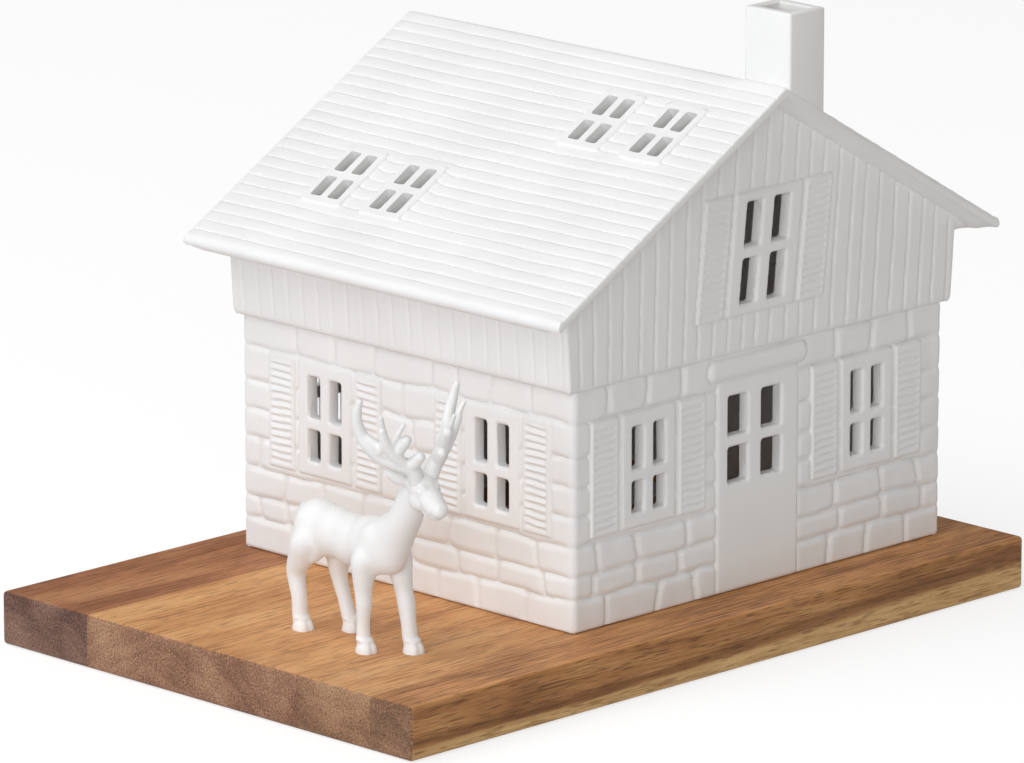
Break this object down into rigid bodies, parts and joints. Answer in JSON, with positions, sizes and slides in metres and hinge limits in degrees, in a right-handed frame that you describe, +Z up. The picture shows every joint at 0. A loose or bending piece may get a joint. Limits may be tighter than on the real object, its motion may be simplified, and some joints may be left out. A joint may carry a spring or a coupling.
{
  "type": "tealight house",
  "caption": "White porcelain cottage that stands over a tealight on a wooden board, with a porcelain deer in the yard; light shows through its window panes.",
  "frame": {"origin": "middle of the underside of the board", "axes": "+Z up, +X along the board's length from the yard to the house, -Y towards the door side"},
  "size_m": [0.24, 0.16, 0.1754],
  "materials": {
    "stave_front": "oiled acacia",
    "stave_inner_front": "oiled acacia",
    "stave_middle": "oiled acacia",
    "stave_back": "oiled acacia",
    "house_porcelain": "unglazed matt",
    "roof_porcelain": "unglazed matt",
    "chimney_porcelain": "unglazed matt",
    "deer_porcelain": "unglazed matt",
    "cup": "drawn thin sheet",
    "wax": "waxy",
    "wick": "braided cotton",
    "sustainer": "tinned"
  },
  "bodies": {
    "board": {"board_stave_front": "stave_front", "board_stave_inner_front": "stave_inner_front", "board_stave_middle": "stave_middle", "board_stave_back": "stave_back"},
    "house": {"house_walls": "house_porcelain", "roof": "roof_porcelain", "chimney": "chimney_porcelain"},
    "tealight": {"tealight_cup": "cup", "tealight_wax": "wax", "tealight_wick": "wick", "wick_sustainer": "sustainer"},
    "deer": {"deer_body": "deer_porcelain", "deer_antler_right": "deer_porcelain", "deer_antler_left": "deer_porcelain"}
  },
  "joints": [
    {"name": "house_lift", "type": "slide", "parent": "board", "child": "house", "axis": [0, 0, 1], "range_m": [0, 0.15]},
    {"name": "tealight_lift", "type": "slide", "parent": "board", "child": "tealight", "axis": [0, 0, 1], "range_m": [0, 0.06]},
    {"name": "deer_lift", "type": "slide", "parent": "board", "child": "deer", "axis": [0, 0, 1], "range_m": [0, 0.08]}
  ]
}
